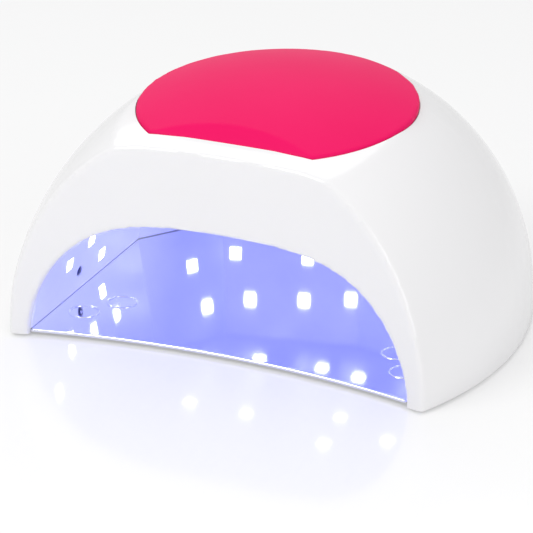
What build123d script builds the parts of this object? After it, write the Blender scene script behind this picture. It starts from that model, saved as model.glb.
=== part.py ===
from build123d import *
import math
import os

os.makedirs("parts", exist_ok=True)

# Table-top nail curing lamp: a domed housing that stands on a magnetic steel base plate.
# Millimetres. +Z is up, -Y is the open front, +X is on the right seen from the front.
# The origin is on the table, under the middle of the lamp.

# ---- driving dimensions -------------------------------------------------------------------
dome_half_width = 111.0
dome_half_depth = 136.3  # from the widest section of the dome to its rear
dome_centre_y = -35.5
dome_waist = 5.0  # height of the widest section above the rim
dome_rise = 111.5  # from the widest section to the dome's top, before the crown is cut
rim_height = 1.0  # the housing's rim above the table
shell_wall = 2.4
front_wall = 3.0

crown_height = 105.0  # top of the shallow crown that flattens the dome
crown_radius = 365.0
crown_centre_y = -6.8

bevel_y = -80.0  # the flat bevel in front of the pad starts here, at bevel_height
bevel_height = 95.8
bevel_angle = 13.8

face_radius = 390.0  # the front face is hollow: a cylinder standing in front of it
face_centre_y = -89.0
face_round = 3.0

arch_half_width = 88.9
arch_rise = 56.1
arch_sill = 1.5
arch_power_x = 3.59
arch_power_z = 1.67
arch_steps = 16

pad_radius = 61.0
pad_centre_y = -32.0
pad_seat_depth = 2.6
pad_gap = 0.3
pad_rim = 0.8  # the pad's rim over the crown
pad_bulge = 4.0  # how much more the pad's middle rises than its rim
pad_front_lip = 0.6
pad_bevel_angle = 37.0

plate_thickness = 0.8
plate_height = 1.8  # underside of the base plate above the table
plate_gap = 0.8  # between the plate's edge and the housing
plate_set_back = 1.8  # the plate's front edge behind the front face
lip_radius = 0.9
ring_radius = 6.6
ring_bead = 0.45
ring_places = [(76.5, -70.0), (66.0, -53.5)]
foot_pad_radius = 6.0
foot_chamfer = 0.5
rear_foot_place = (60.0, 40.0)

frame_thickness = 2.2
frame_lift = 0.6  # chassis ring over the base plate
frame_skin = 0.4  # left under the liner screws' holes
head_pocket = 2.0  # depth of the pockets for the housing screws' heads
pad_extra = 0.5  # the ring's screw pads over the bosses' radius
under_crown = 6.0  # the liner and the ring stay this far under the crown
magnet_radius = 4.0
magnet_places = [(100.5, -40.0), (64.0, 63.0), (20.0, 88.0)]
magnet_gap = 0.05

liner_wall = 1.5
liner_lift = 0.4  # liner walls over the base plate
liner_lean = 11.0  # degrees that the walls lean in
liner_rise = 54.0
liner_front = (88.6, -96.0)  # corners of the liner's foot, front to back, on the right
liner_corner = (93.5, 16.0)
liner_back_corner = (68.0, 54.0)
liner_back_y = 70.0
liner_gap = 0.3
flange_width = 6.0
flange_thickness = 1.5

board_thickness = 1.2
led_size = 5.0
led_window = 5.6
led_lens_radius = 2.2
led_stand = 0.5  # lens top inside the liner's surface
led_lens_round = 0.4

boss_radius = 4.0
boss_length = 14.0
boss_foot = 4.2  # height of the chassis ring's screw pads
shell_screw_places = [(97.0, -84.0), (101.5, -5.0), (44.0, 82.5)]
shell_screw_length = 9.0
shell_screw_radius = 1.4
screw_clearance = 0.2
flange_clearance = 0.8  # between a boss and the liner's flange
screw_tip_gap = 0.5
thread_gap = 0.02  # between a screw and the hole that it cuts
liner_screw_radius = 1.2
liner_screw_head = (2.2, 1.5)  # radius and height
liner_screw_places_along = [("left", 20.0), ("corner_left", 16.0), ("back_left", 0.0)]

panel_tilt = 25.0  # the rear control panel leans back from upright
panel_height = 46.0
panel_depth = 5.0  # how far the panel cuts into the dome
button_radius = 4.5
button_gap = 0.2
button_pitch = 13.0
button_row = -9.0
button_proud = 1.2
button_flange = 1.0
button_rim = 1.25  # the flange's reach past the cap
button_play = 0.05  # between the flange and the panel at rest
button_round = 0.6
control_screw_radius = 1.0
control_screw_head = (1.9, 1.3)
control_screw_grip = 4.0
window_width = 30.0
window_height = 14.0
window_thickness = 1.2
window_row = 11.0
window_margin = 2.0
control_board_width = 56.0
control_board_height = 40.0
control_board_depth = 8.4  # board's front below the panel's surface
control_post = (25.0, 17.0)
post_radius = 2.5
switch_size = (6.0, 6.0, 3.5)
switch_height = 4.3
switch_stem_radius = 1.75
display_size = (25.0, 9.4)
display_depth = 2.6  # display's face below the panel's surface
display_well = (10.0, 7.6, 0.4)
display_well_x = 6.2

inlet_height = 13.0
inlet_barrel_radius = 5.5
inlet_bezel_radius = 6.8
inlet_bezel = 1.5
inlet_bore_radius = 2.9
inlet_bore_depth = 9.0
inlet_pin_radius = 1.0
inlet_length = 14.0
inlet_boss_radius = 8.0
inlet_boss = 4.0
inlet_seat_sink = 0.6
inlet_round = 0.6
inlet_pin_set_back = 1.5
inlet_nut_radius = 7.8
inlet_nut_height = 3.0

main_board_width = 92.0
main_board_depth = 62.0
main_board_y = -2.0
main_board_thickness = 1.6
main_post_height = 6.0
main_post_radius = 3.0
main_screw_radius = 1.4
main_screw_head = (2.6, 1.8)
main_screw_length = 7.0
main_post_inset = 6.0
board_corner = 3.0
post_play = 0.3  # between the main board's posts and the roof board

led_board_foot = 8.0  # lower edge of the corner and rear boards, up the liner's slope
led_board_top = 46.0
side_board = (100.0, 4.5, 44.0)  # length, lower edge and upper edge
corner_board_width = 34.0
back_board_width = 63.0
roof_board = (124.0, -38.0, 44.0)

main_board_play = 0.2  # clearance of the boards' holes
choke_size = (10.0, 10.0, 5.0)
choke_places = [(-24.0, 14.0), (-24.0, -2.0)]
capacitor_radius = 4.0
capacitor_height = 11.0
capacitor_groove = (2.0, 0.7)  # height and radius
choke_round = 2.0
capacitor_places = [(-8.0, 15.0), (3.0, 15.0), (-35.0, 2.0)]
chip_size = (6.0, 5.0, 1.6)
chip_places = [(-4.0, -12.0), (10.0, -12.0), (24.0, -12.0), (8.0, 2.0)]
side_plug = (6.0, 8.0, 6.0)
rear_plug = (8.0, 6.0, 6.0)
ribbon_plug = (12.0, 6.0, 5.0)
rear_plug_x = 20.0
ribbon_x = -12.0
control_plug_rise = 10.0
ribbon_width = 9.0
ribbon_thickness = 0.8
lead_radius = 0.8
plug_inset = 1.0  # plugs stand this far inside the board's edges

sensor_radius = 2.5
sensor_along = -10.8
sensor_height = 12.6
sensor_gap = 0.1
sensor_nose = 1.6
sensor_stand = 0.3
sensor_tail = 4.0

big = 400.0
reach = 20.0  # how far cutting shapes run past what they cut

# ---- levels worked out from them ----------------------------------------------------------
plate_top = plate_height + plate_thickness
inlet_z = inlet_height + rim_height
frame_bottom = plate_top + frame_lift
frame_top = frame_bottom + frame_thickness
screw_pad_top = frame_bottom + boss_foot
boss_top = screw_pad_top + boss_length
screw_tip = screw_pad_top + shell_screw_length
liner_bottom = plate_top + liner_lift
roof_height = liner_bottom + liner_rise
lean = math.radians(liner_lean)


def both_sides(places):
    """The places and their mirror images across the lamp's middle."""
    return [(side * x, y) for x, y in places for side in (-1, 1)]


def upright(radius, bottom, top, x=0.0, y=0.0):
    """A round bar that stands at x, y between two heights."""
    return Pos(x, y, bottom) * extrude(Circle(radius), top - bottom)


def slab(bottom, top):
    """Everything between two heights."""
    return Pos(0, 0, (bottom + top) / 2) * Box(2 * big, 2 * big, top - bottom)


# ---- the housing's surfaces, each drawn in by the same inset --------------------------------
def dome_body(inset):
    """The egg-shaped dome, a stretched ball whose widest section is just above the rim."""
    radii = (dome_half_width - inset, dome_half_depth - inset, dome_rise - inset)
    ball = Rot(0, 0, 90) * Sphere(1.0)
    return Pos(0, dome_centre_y, rim_height + dome_waist) * scale(ball, by=radii)


def crown_body(inset):
    """The large ball whose top is the shallow crown."""
    return Pos(0, crown_centre_y, crown_height - crown_radius) * Sphere(crown_radius - inset)


def front_tool(set_back):
    """The cylinder that hollows the front face, grown backwards by set_back."""
    return Pos(0, face_centre_y - face_radius, 0) * Cylinder(face_radius + set_back, 2 * big)


def rear_y(height):
    """Where the dome's rear is at a height above the rim."""
    share = math.sqrt(1 - ((height - dome_waist) / dome_rise) ** 2)
    return dome_centre_y + dome_half_depth * share


def panel_plane(depth=0.0):
    """The control panel's surface, or the plane parallel to it at a depth inside."""
    tilt = math.radians(panel_tilt)
    normal = Vector(0, math.cos(tilt), math.sin(tilt))
    middle = Vector(0, rear_y(panel_height), panel_height + rim_height)
    return Plane(middle - normal * (panel_depth + depth), x_dir=(-1, 0, 0), z_dir=normal)


def panel_tool(depth):
    """Everything outside the control panel's plane."""
    return panel_plane(depth) * Pos(0, 0, big / 2) * Box(big, big, big)


def bevel_tool(lift):
    """Everything above the bevel in front of the pad, with the bevel lifted by lift."""
    start = Pos(0, bevel_y, bevel_height + lift) * Rot(bevel_angle, 0, 0)
    return start * Pos(0, 0, big / 2) * Box(big, big, big) - slab_behind(bevel_y)


def slab_behind(y):
    """Everything behind a depth."""
    return Pos(0, y + big, 0) * Box(4 * big, 2 * big, 4 * big)


def housing_body(inset, crown_inset, front_inset):
    """The solid inside the dome, the crown, the bevel, the front face and the control panel."""
    body = dome_body(inset) & crown_body(crown_inset)
    body = body - bevel_tool(-inset)
    return body - front_tool(front_inset)


def on_face(edge):
    """Whether an edge lies on the front face's cylinder."""
    points = [edge @ t for t in (0.2, 0.5, 0.8)]
    radii = [math.hypot(point.X, point.Y - face_centre_y + face_radius) for point in points]
    return all(abs(radius - face_radius) < 0.05 for radius in radii)


# ---- outer shell --------------------------------------------------------------------------
def arch_tool():
    """The opening that the hand goes through, cut through the front wall only."""
    def outline_point(step):
        angle = math.pi * step / (2 * arch_steps)
        x = arch_half_width * max(0.0, math.cos(angle)) ** (2 / arch_power_x)
        return (x, arch_rise * math.sin(angle) ** (2 / arch_power_z))

    right = [outline_point(step) for step in range(arch_steps + 1)]
    left = [(-x, z) for x, z in reversed(right[:-1])]
    curve = Spline(*(right + left), tangents=[(0, 1), (0, -1)])
    legs = Polyline(curve @ 1, (-arch_half_width, -reach), (arch_half_width, -reach), curve @ 0)
    start = face_centre_y + 3 * front_wall
    front = Plane((0, start, arch_sill), x_dir=(1, 0, 0), z_dir=(0, -1, 0))
    return front * extrude(make_face(curve + legs), 3 * reach)


def inner_body():
    """The hollow of the housing."""
    body = housing_body(shell_wall, shell_wall + pad_seat_depth, front_wall)
    return body - panel_tool(shell_wall)


def pad_outline(grow):
    """The pad's round outline with its straight front, as a tall prism."""
    prism = upright(pad_radius + grow, roof_height, crown_height + reach, 0, pad_centre_y)
    return prism & slab_behind(bevel_y - grow)


def panel_point(x, y, depth=0.0):
    """A placed frame on the control panel, at a depth under its surface."""
    return panel_plane(depth) * Pos(x, y, 0)


def panel_bar(radius, top, bottom, x, y):
    """A round bar square to the control panel, between two heights over its surface."""
    return panel_plane() * Pos(x, y, bottom) * extrude(Circle(radius), top - bottom)


def control_posts():
    return [(sx * control_post[0], sy * control_post[1]) for sx in (-1, 1) for sy in (-1, 1)]


def button_places():
    return [((i - 1.5) * button_pitch, button_row) for i in range(4)]


def inlet_seat_y():
    """The flat seat of the inlet's bezel on the housing's rear."""
    return rear_y(inlet_height + inlet_bezel_radius) - inlet_seat_sink


def along_y(radius, start, end, x=0.0, z=0.0):
    """A round bar along Y between two depths."""
    return Plane((x, start, z), z_dir=(0, 1, 0)) * extrude(Circle(radius), end - start)


def shell_outside():
    """The housing's outer shape with its rounded front edge, seats and arch, not yet hollow."""
    body = housing_body(0, 0, 0)
    body = fillet([edge for edge in body.edges() if on_face(edge)], face_round)
    body -= panel_tool(0)
    body -= slab(-big, rim_height)
    body -= pad_outline(pad_gap) - crown_body(pad_seat_depth)
    width = window_width + 2 * button_gap
    height = window_height + 2 * button_gap
    body -= panel_point(0, window_row) * Box(width, height, 2 * window_thickness)
    seat = inlet_seat_y()
    body -= along_y(inlet_bezel_radius + screw_clearance, seat, seat + reach, 0, inlet_z)
    return body - arch_tool()


def shell_inside():
    """The housing's hollow, less the screw bosses, control posts and inlet boss that stand in it."""
    hollow = inner_body()
    for x, y in both_sides(shell_screw_places):
        hollow -= upright(boss_radius, screw_pad_top, boss_top, x, y)
    for x, y in control_posts():
        hollow -= panel_bar(post_radius, 0, -control_board_depth, x, y)
    seat = inlet_seat_y()
    return hollow - along_y(inlet_boss_radius, seat - inlet_boss, seat + reach, 0, inlet_z)


def make_outer_shell():
    shell = shell_outside() - shell_inside()
    shell -= panel_point(0, window_row) * Box(
        window_width - 2 * window_margin, window_height - 2 * window_margin, 4 * shell_wall
    )
    for x, y in button_places():
        shell -= panel_bar(button_radius + button_gap, shell_wall, -2 * shell_wall, x, y)
    for x, y in control_posts():
        shell -= panel_bar(control_screw_radius + thread_gap, -shell_wall, -reach, x, y)
    for x, y in both_sides(shell_screw_places):
        shell -= upright(shell_screw_radius + thread_gap, 0, screw_tip, x, y)
    seat = inlet_seat_y()
    return shell - along_y(inlet_barrel_radius + screw_clearance, seat - reach, seat + 1, 0, inlet_z)


def make_top_pad():
    """The silicone pad: a lens whose crown cuts the housing's crown along its rim."""
    rim_ball = crown_radius
    rim_centre = crown_height + pad_rim - crown_radius
    tilt = math.asin((pad_centre_y - crown_centre_y) / crown_radius)
    rim_depth = math.sqrt(rim_ball**2 - pad_radius**2)
    rise = rim_ball - rim_depth + pad_bulge
    radius = (pad_radius**2 + rise**2) / (2 * rise)
    arm = rim_depth + rise - radius
    ball = Pos(0, crown_centre_y + arm * math.sin(tilt), rim_centre + arm * math.cos(tilt))
    pad = pad_outline(0) & (ball * Sphere(radius))
    pad -= crown_body(pad_seat_depth)
    bevel = Pos(0, bevel_y, bevel_height + pad_front_lip) * Rot(pad_bevel_angle, 0, 0)
    return pad - bevel * Pos(0, 0, big / 2) * Box(big, big, big)


# ---- base plate, its feet and the chassis ring ----------------------------------------------
def make_base_plate():
    """Polished steel: it fills the housing's foot, and its front edge is hemmed between the feet."""
    level = slab(plate_height, plate_top)
    inside = dome_body(shell_wall + plate_gap) & level
    behind_feet = inside - front_tool(front_wall + plate_gap)
    tongue = Pos(0, face_centre_y, 0) * Box(2 * (arch_half_width - plate_gap), 4 * reach, reach)
    tongue = tongue & inside
    plate = behind_feet + (tongue - front_tool(plate_set_back))
    lip_path = face_radius + plate_set_back + lip_radius
    half_turn = math.degrees(math.asin((arch_half_width - 2 * plate_gap) / lip_path))
    profile = Plane.XZ * Pos(lip_path, plate_height + plate_thickness / 2) * Circle(lip_radius)
    lip = revolve(profile, Axis.Z, 2 * half_turn)
    plate += Pos(0, face_centre_y - face_radius, 0) * Rot(0, 0, 90 - half_turn) * lip
    for x, y in both_sides(ring_places):
        plate += Pos(x, y, plate_top) * Torus(ring_radius, ring_bead)
    return plate


def foot_places():
    return both_sides([ring_places[0], rear_foot_place])


def make_plate_feet():
    return [
        chamfer(upright(foot_pad_radius, 0, plate_height, x, y).edges().group_by(Axis.Z)[0], foot_chamfer)
        for x, y in foot_places()
    ]


def liner_line(grow):
    """The liner's outline at its foot, grown outwards, with its front run out past the face."""
    run_out = (liner_front[0], face_centre_y - 3 * reach)
    corners = [run_out, liner_front, liner_corner, liner_back_corner, (0.0, liner_back_y)]
    mirrored = [(-x, y) for x, y in reversed(corners[:-1])]
    face = make_face(Polyline(*(corners + mirrored), close=True))
    return offset(face, grow, kind=Kind.INTERSECTION) if grow else face


def liner_body(grow, rise):
    """The space inside the liner's leaning walls, grown outwards."""
    return Pos(0, 0, liner_bottom) * extrude(liner_line(grow), rise, taper=liner_lean)


def room_for_liner():
    """The housing's hollow less the liner's gap all round."""
    return housing_body(shell_wall + liner_gap, shell_wall + under_crown, front_wall + liner_gap)


def make_base_frame():
    """The chassis ring that closes the housing's foot and carries magnets, liner and screws."""
    ring = slab(frame_bottom, frame_top)
    for x, y in both_sides(shell_screw_places):
        ring += upright(boss_radius + pad_extra, frame_bottom, screw_pad_top, x, y)
    around = liner_line((liner_wall + liner_gap) / math.cos(lean))
    ring -= extrude(around, reach)
    ring = ring & room_for_liner()
    for x, y in both_sides(shell_screw_places):
        ring -= upright(shell_screw_radius + screw_clearance, 0, reach, x, y)
        ring -= upright(2 * shell_screw_radius + screw_clearance, 0, frame_bottom + head_pocket, x, y)
    for x, y in both_sides(magnet_places):
        ring -= upright(magnet_radius + magnet_gap, 0, reach, x, y)
    for x, y in liner_screw_places():
        ring -= upright(liner_screw_radius + thread_gap, frame_bottom + frame_skin, reach, x, y)
    return ring


def make_magnets():
    return [
        upright(magnet_radius, plate_top, frame_top, x, y) for x, y in both_sides(magnet_places)
    ]


# ---- liner: the mirrored tray upside down over the hand ---------------------------------------
def wall_facets():
    """Each wall facet of the liner as name, frame on its inner surface, and length at its foot."""
    right = [(0.0, liner_back_y), liner_back_corner, liner_corner, liner_front]
    left = [(-x, y) for x, y in reversed(right)]
    runs = list(zip(left[:-1], left[1:])) + list(zip(right[:-1], right[1:]))
    names = ["left", "corner_left", "back_left", "back_right", "corner_right", "right"]
    facets = {}
    for name, (start, end) in zip(names, runs):
        along = Vector(end[0] - start[0], end[1] - start[1], 0)
        inward = Vector(along.Y, -along.X, 0).normalized() * math.cos(lean)
        foot = Vector((start[0] + end[0]) / 2, (start[1] + end[1]) / 2, liner_bottom)
        plane = Plane(foot, x_dir=along, z_dir=inward - Vector(0, 0, math.sin(lean)))
        facets[name] = (plane, along.length)
    return facets


def roof_plane():
    return Plane((0, 0, roof_height), x_dir=(1, 0, 0), z_dir=(0, 0, -1))


# Places of the lamps along each left facet from its middle, and their heights.
side_leds = [(-42.0, 33.0), (-23.5, 20.5), (-2.0, 24.6), (13.0, 11.8), (21.8, 26.3)]
corner_leds = [(4.3, 20.8), (10.0, 41.5)]
back_leds = [(-28.0, 17.8), (7.0, 17.8), (-20.0, 39.3), (6.0, 37.8), (28.5, 35.5)]
roof_leds = [
    (-35.5, 25.5),
    (-4.7, 28.5),
    (15.0, 26.0),
    (45.0, 26.0),
    (-49.0, -21.0),
    (-20.5, -21.0),
    (20.0, -7.0),
    (24.0, -35.0),
    (49.0, -21.0),
]


def led_frames():
    """For each board, the frames of its lamps; the left board's last lamp serves the middle."""
    facets = wall_facets()
    frames = {}
    for name, places in (("left", side_leds), ("corner_left", corner_leds), ("back_left", back_leds)):
        mirror = name.replace("left", "right")
        for board, side in ((name, 1), (mirror, -1)):
            plane = facets[board][0]
            frames[board] = [
                plane * Pos(side * along, (height - liner_bottom) / math.cos(lean), 0)
                for along, height in places
            ]
    frames["back_right"].pop()
    frames["roof"] = [roof_plane() * Pos(x, -y, 0) for x, y in roof_leds]
    return frames


def sensor_frames():
    facets = wall_facets()
    rise = (sensor_height - liner_bottom) / math.cos(lean)
    return {
        "emitter": facets["left"][0] * Pos(sensor_along, rise, 0),
        "receiver": facets["right"][0] * Pos(-sensor_along, rise, 0),
    }


def liner_screw_places():
    """Three screws on each side through the liner's flange."""
    out = liner_wall / math.cos(lean) + flange_width / 2
    facets = wall_facets()
    places = []
    for name, along in liner_screw_places_along:
        for board, side in ((name, 1), (name.replace("left", "right"), -1)):
            plane = facets[board][0]
            flat = Vector(plane.z_dir.X, plane.z_dir.Y, 0).normalized()
            point = plane.origin + plane.x_dir * side * along - flat * out
            places.append((point.X, point.Y))
    return places


def main_post_places():
    x = main_board_width / 2 - main_post_inset
    y = main_board_depth / 2 - main_post_inset
    return [(sx * x, main_board_y + sy * y) for sx in (-1, 1) for sy in (-1, 1)]


def main_board_bottom():
    return roof_height + liner_wall + board_thickness + main_post_height


def make_reflector():
    """One moulding with a bright metallised inside: walls, roof, flange and board posts."""
    grow = liner_wall / math.cos(lean)
    body = liner_body(grow, liner_rise + liner_wall)
    flange = extrude(liner_line(grow + flange_width), flange_thickness)
    flange = Pos(0, 0, frame_top) * flange
    for x, y in both_sides(shell_screw_places):
        flange -= upright(boss_radius + flange_clearance, 0, reach, x, y)
    body += flange & room_for_liner()
    for x, y in main_post_places():
        body += upright(main_post_radius, roof_height + liner_wall / 2, main_board_bottom(), x, y)
    body -= liner_body(0, liner_rise)
    body -= front_tool(front_wall + liner_gap)
    for x, y in main_post_places():
        body -= upright(main_screw_radius + thread_gap, roof_height + liner_wall, big, x, y)
    for frames in led_frames().values():
        for frame in frames:
            body -= frame * Box(led_window, led_window, 4 * liner_wall)
    for frame in sensor_frames().values():
        body -= frame * Cylinder(sensor_radius + sensor_gap, 4 * liner_wall)
    for x, y in liner_screw_places():
        body -= upright(liner_screw_radius + screw_clearance, 0, reach, x, y)
    return body


def board_on(plane, width, low, high, along=0.0):
    """A board on the back of a facet, between two distances up its slope."""
    middle = Pos(along, (low + high) / 2, -liner_wall - board_thickness / 2)
    return plane * middle * Box(width, high - low, board_thickness)


def make_led_boards():
    facets = wall_facets()
    sizes = {
        "left": side_board,
        "corner_left": (corner_board_width, led_board_foot, led_board_top),
        "back_left": (back_board_width, led_board_foot, led_board_top),
    }
    boards = {}
    for name, (width, low, high) in sizes.items():
        for board in (name, name.replace("left", "right")):
            boards[board] = board_on(facets[board][0], width, low, high)
    sensors = sensor_frames()
    boards["left"] -= sensors["emitter"] * Cylinder(sensor_radius + sensor_gap, reach)
    boards["right"] -= sensors["receiver"] * Cylinder(sensor_radius + sensor_gap, reach)
    roof = board_on(roof_plane(), *roof_board)
    for x, y in main_post_places():
        roof -= upright(main_post_radius + post_play, roof_height, big, x, y)
    boards["roof"] = roof
    return boards


def make_led(frame):
    """A square lamp body in its window with a round lens that stands just inside the liner."""
    body = frame * Pos(0, 0, -liner_wall) * extrude(Rectangle(led_size, led_size), liner_wall)
    lens = extrude(Circle(led_lens_radius), led_stand)
    lens = fillet(lens.edges().group_by(Axis.Z)[-1], led_lens_round)
    return body + frame * lens


def make_sensor(frame):
    """A round sensor body that passes its board, with a domed front in the liner's hole."""
    depth = liner_wall + board_thickness + sensor_tail
    bar = extrude(Circle(sensor_radius), depth)
    bar = fillet(bar.edges().group_by(Axis.Z)[-1], sensor_nose)
    return frame * Pos(0, 0, sensor_stand - depth) * bar


# ---- main board over the liner ----------------------------------------------------------------
def standing(size, bottom, x, y, rounding=0.0):
    """A block that stands at x, y, with its upright edges rounded."""
    block = Pos(x, y, bottom + size[2] / 2) * Box(*size)
    return fillet(block.edges().filter_by(Axis.Z), rounding) if rounding else block


def main_board_top():
    return main_board_bottom() + main_board_thickness


def make_main_board():
    size = (main_board_width, main_board_depth, main_board_thickness)
    board = standing(size, main_board_bottom(), 0, main_board_y, board_corner)
    for x, y in main_post_places():
        board -= upright(main_screw_radius + main_board_play, 0, big, x, y)
    return board


def make_inductors():
    return [standing(choke_size, main_board_top(), x, y, choke_round) for x, y in choke_places]


def make_capacitors():
    """Electrolytic cans, each with the rolled groove near its foot."""
    height, depth = capacitor_groove
    can = upright(capacitor_radius, main_board_top(), main_board_top() + capacitor_height)
    can = chamfer(can.edges().group_by(Axis.Z)[-1], depth / 2)
    can -= Pos(0, 0, main_board_top() + height) * Torus(capacitor_radius + depth / 3, depth)
    return [Pos(x, y, 0) * can for x, y in capacitor_places]


def make_driver_chips():
    return [standing(chip_size, main_board_top(), x, y) for x, y in chip_places]


def side_plug_x():
    return main_board_width / 2 - side_plug[0] / 2 - plug_inset


def plug_y(size):
    """Middle of a plug that stands at the main board's rear edge."""
    return main_board_y + main_board_depth / 2 - size[1] / 2 - plug_inset


def control_plug():
    """The ribbon's plug on the back of the control board."""
    place = panel_point(-ribbon_x, control_plug_rise, control_board_depth + main_board_thickness)
    width, height, depth = ribbon_plug
    return place * Pos(0, 0, -depth / 2) * Box(width, height, depth)


def make_board_connectors():
    top = main_board_top()
    plugs = [standing(side_plug, top, side * side_plug_x(), main_board_y) for side in (-1, 1)]
    plugs.append(standing(rear_plug, top, rear_plug_x, plug_y(rear_plug)))
    plugs.append(standing(ribbon_plug, top, ribbon_x, plug_y(ribbon_plug)))
    return plugs + [control_plug()]


def make_screw(seat, tip, shank, head_size):
    """A pan screw at the origin whose head stands on the seat and whose shank runs to the tip."""
    head, head_height = head_size
    side = 1 if seat > tip else -1
    cap = upright(head, min(seat, seat + side * head_height), max(seat, seat + side * head_height))
    rim = cap.edges().group_by(Axis.Z)[-1 if side > 0 else 0]
    cap = fillet(rim, head_height * 0.5)
    slot = Pos(0, 0, seat + side * head_height)
    cap -= slot * Box(head * 1.2, 0.5, head_height * 0.8)
    cap -= slot * Box(0.5, head * 1.2, head_height * 0.8)
    return cap + upright(shank, min(seat, tip), max(seat, tip))


def make_main_board_screws():
    top = main_board_top()
    screw = make_screw(top, top - main_screw_length, main_screw_radius, main_screw_head)
    return [Pos(x, y, 0) * screw for x, y in main_post_places()]


def make_shell_screws():
    head = (2 * shell_screw_radius, head_pocket - screw_clearance)
    seat = frame_bottom + head_pocket
    screw = make_screw(seat, screw_tip - screw_tip_gap, shell_screw_radius, head)
    return [Pos(x, y, 0) * screw for x, y in both_sides(shell_screw_places)]


def make_liner_screws():
    seat = frame_top + flange_thickness
    tip = frame_bottom + frame_skin + screw_clearance
    screw = make_screw(seat, tip, liner_screw_radius, liner_screw_head)
    return [Pos(x, y, 0) * screw for x, y in liner_screw_places()]


# ---- rear control panel -----------------------------------------------------------------------
def make_control_board():
    depth = control_board_depth + main_board_thickness / 2
    size = (control_board_width, control_board_height, main_board_thickness)
    board = panel_point(0, 0, depth) * Box(*size)
    for x, y in control_posts():
        board -= panel_bar(control_screw_radius + main_board_play, 0, -reach, x, y)
    return board


def make_control_board_screws():
    back = -control_board_depth - main_board_thickness
    tip = control_screw_grip - control_board_depth
    screw = make_screw(back, tip, control_screw_radius, control_screw_head)
    return [panel_plane() * Pos(x, y, 0) * screw for x, y in control_posts()]


def make_tact_switches():
    body = Pos(0, 0, switch_size[2] / 2) * Box(*switch_size)
    body += upright(switch_stem_radius, switch_size[2], switch_height)
    return [panel_point(x, y, control_board_depth) * body for x, y in button_places()]


def make_display_module():
    """The numeral display behind the window, with its two wells."""
    height = control_board_depth - display_depth
    block = Pos(0, 0, height / 2) * Box(*display_size, height)
    for x in (-display_well_x, display_well_x):
        block -= Pos(x, 0, height) * Box(*display_well)
    return panel_point(0, window_row, control_board_depth) * block


def make_display_window():
    pane = Box(window_width, window_height, window_thickness)
    pane = fillet(pane.edges().filter_by(Axis.Z), button_gap / 2)
    return panel_point(0, window_row, window_thickness / 2) * pane


def make_button(x, y):
    """A domed button whose flange is caught behind the panel."""
    top = -shell_wall - button_play
    cap = upright(button_radius, top - button_play, button_proud)
    cap = fillet(cap.edges().group_by(Axis.Z)[-1], button_round)
    flange = upright(button_radius + button_rim, top - button_flange, top)
    return panel_plane() * Pos(x, y, 0) * (cap + flange)


# ---- power inlet --------------------------------------------------------------------------------
def make_inlet_body():
    seat = inlet_seat_y()
    body = along_y(inlet_barrel_radius, seat - inlet_length, seat + inlet_bezel / 2, 0, inlet_z)
    bezel = along_y(inlet_bezel_radius, seat, seat + inlet_bezel, 0, inlet_z)
    body += fillet(bezel.edges().group_by(Axis.Y)[-1], inlet_round)
    outer = seat + inlet_bezel
    return body - along_y(inlet_bore_radius, outer - inlet_bore_depth, outer + 1, 0, inlet_z)


def make_inlet_pin():
    outer = inlet_seat_y() + inlet_bezel
    tip = outer - inlet_pin_set_back
    pin = along_y(inlet_pin_radius, outer - inlet_bore_depth, tip, 0, inlet_z)
    return fillet(pin.edges().group_by(Axis.Y)[-1], inlet_pin_radius * 0.4)


def make_inlet_nut():
    """The hexagon nut that holds the inlet from inside."""
    start = inlet_seat_y() - inlet_boss - thread_gap - inlet_nut_height
    outline = RegularPolygon(inlet_nut_radius, 6, rotation=30)
    blank = Plane((0, start, inlet_z), z_dir=(0, 1, 0)) * extrude(outline, inlet_nut_height)
    return blank - along_y(inlet_barrel_radius + thread_gap, start - 1, start + reach, 0, inlet_z)


# ---- leads inside ---------------------------------------------------------------------------------
def rounded_path(points):
    """A path of straight runs whose turns are as wide as the runs allow."""
    radii = []
    for before, here, after in zip(points, points[1:], points[2:]):
        first = Vector(*here) - Vector(*before)
        second = Vector(*after) - Vector(*here)
        half_turn = math.radians(first.get_angle(second)) / 2
        radii.append(0.45 * min(first.length, second.length) / math.tan(half_turn))
    return FilletPolyline(*points, radius=radii), radii


def make_lead(points, profile, across):
    """A lead with a steady section, swept along a rounded path; across is its section's X."""
    path, radii = rounded_path(points)
    lead = sweep(Plane(path @ 0, x_dir=across, z_dir=path % 0) * profile, path=path)
    print("lead radii", [round(radius, 1) for radius in radii], round(lead.volume / path.length, 3))
    return lead


def make_power_lead(x):
    """From a tail of the inlet up behind the liner and over it to the rear plug."""
    end = plug_y(rear_plug) + rear_plug[1] / 2
    level = main_board_top() + rear_plug[2] / 2
    tail = inlet_seat_y() - inlet_length
    over = rear_plug_x + x / 2
    points = [(x, tail, inlet_z), (x, tail - 9, inlet_z), (x, 70, 40), (over, 60, level)]
    return make_lead(points + [(over, end, level)], Circle(lead_radius), (1, 0, 0))


def make_led_lead(side):
    """From the side plug over the liner's edge and down to the back of the side board."""
    start = side_plug_x() + side_plug[0] / 2
    level = main_board_top() + side_plug[2] / 2
    plane = wall_facets()["right"][0]
    up = (Vector(0, 0, 1) - plane.z_dir * plane.z_dir.Z).normalized()
    face = plane.origin + up * (side_board[2] - 5) - plane.z_dir * (liner_wall + board_thickness)
    bend = face - plane.z_dir * 9
    points = [(start, main_board_y, level), (start + 12, main_board_y, level)]
    points += [(face.X, bend.Y, roof_height + 4), (bend.X, bend.Y, bend.Z + 10)]
    points += [(bend.X, bend.Y, bend.Z), (face.X, face.Y, face.Z)]
    points = [(side * x, y, z) for x, y, z in points]
    return make_lead(points, Circle(lead_radius), (0, 1, 0))


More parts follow.
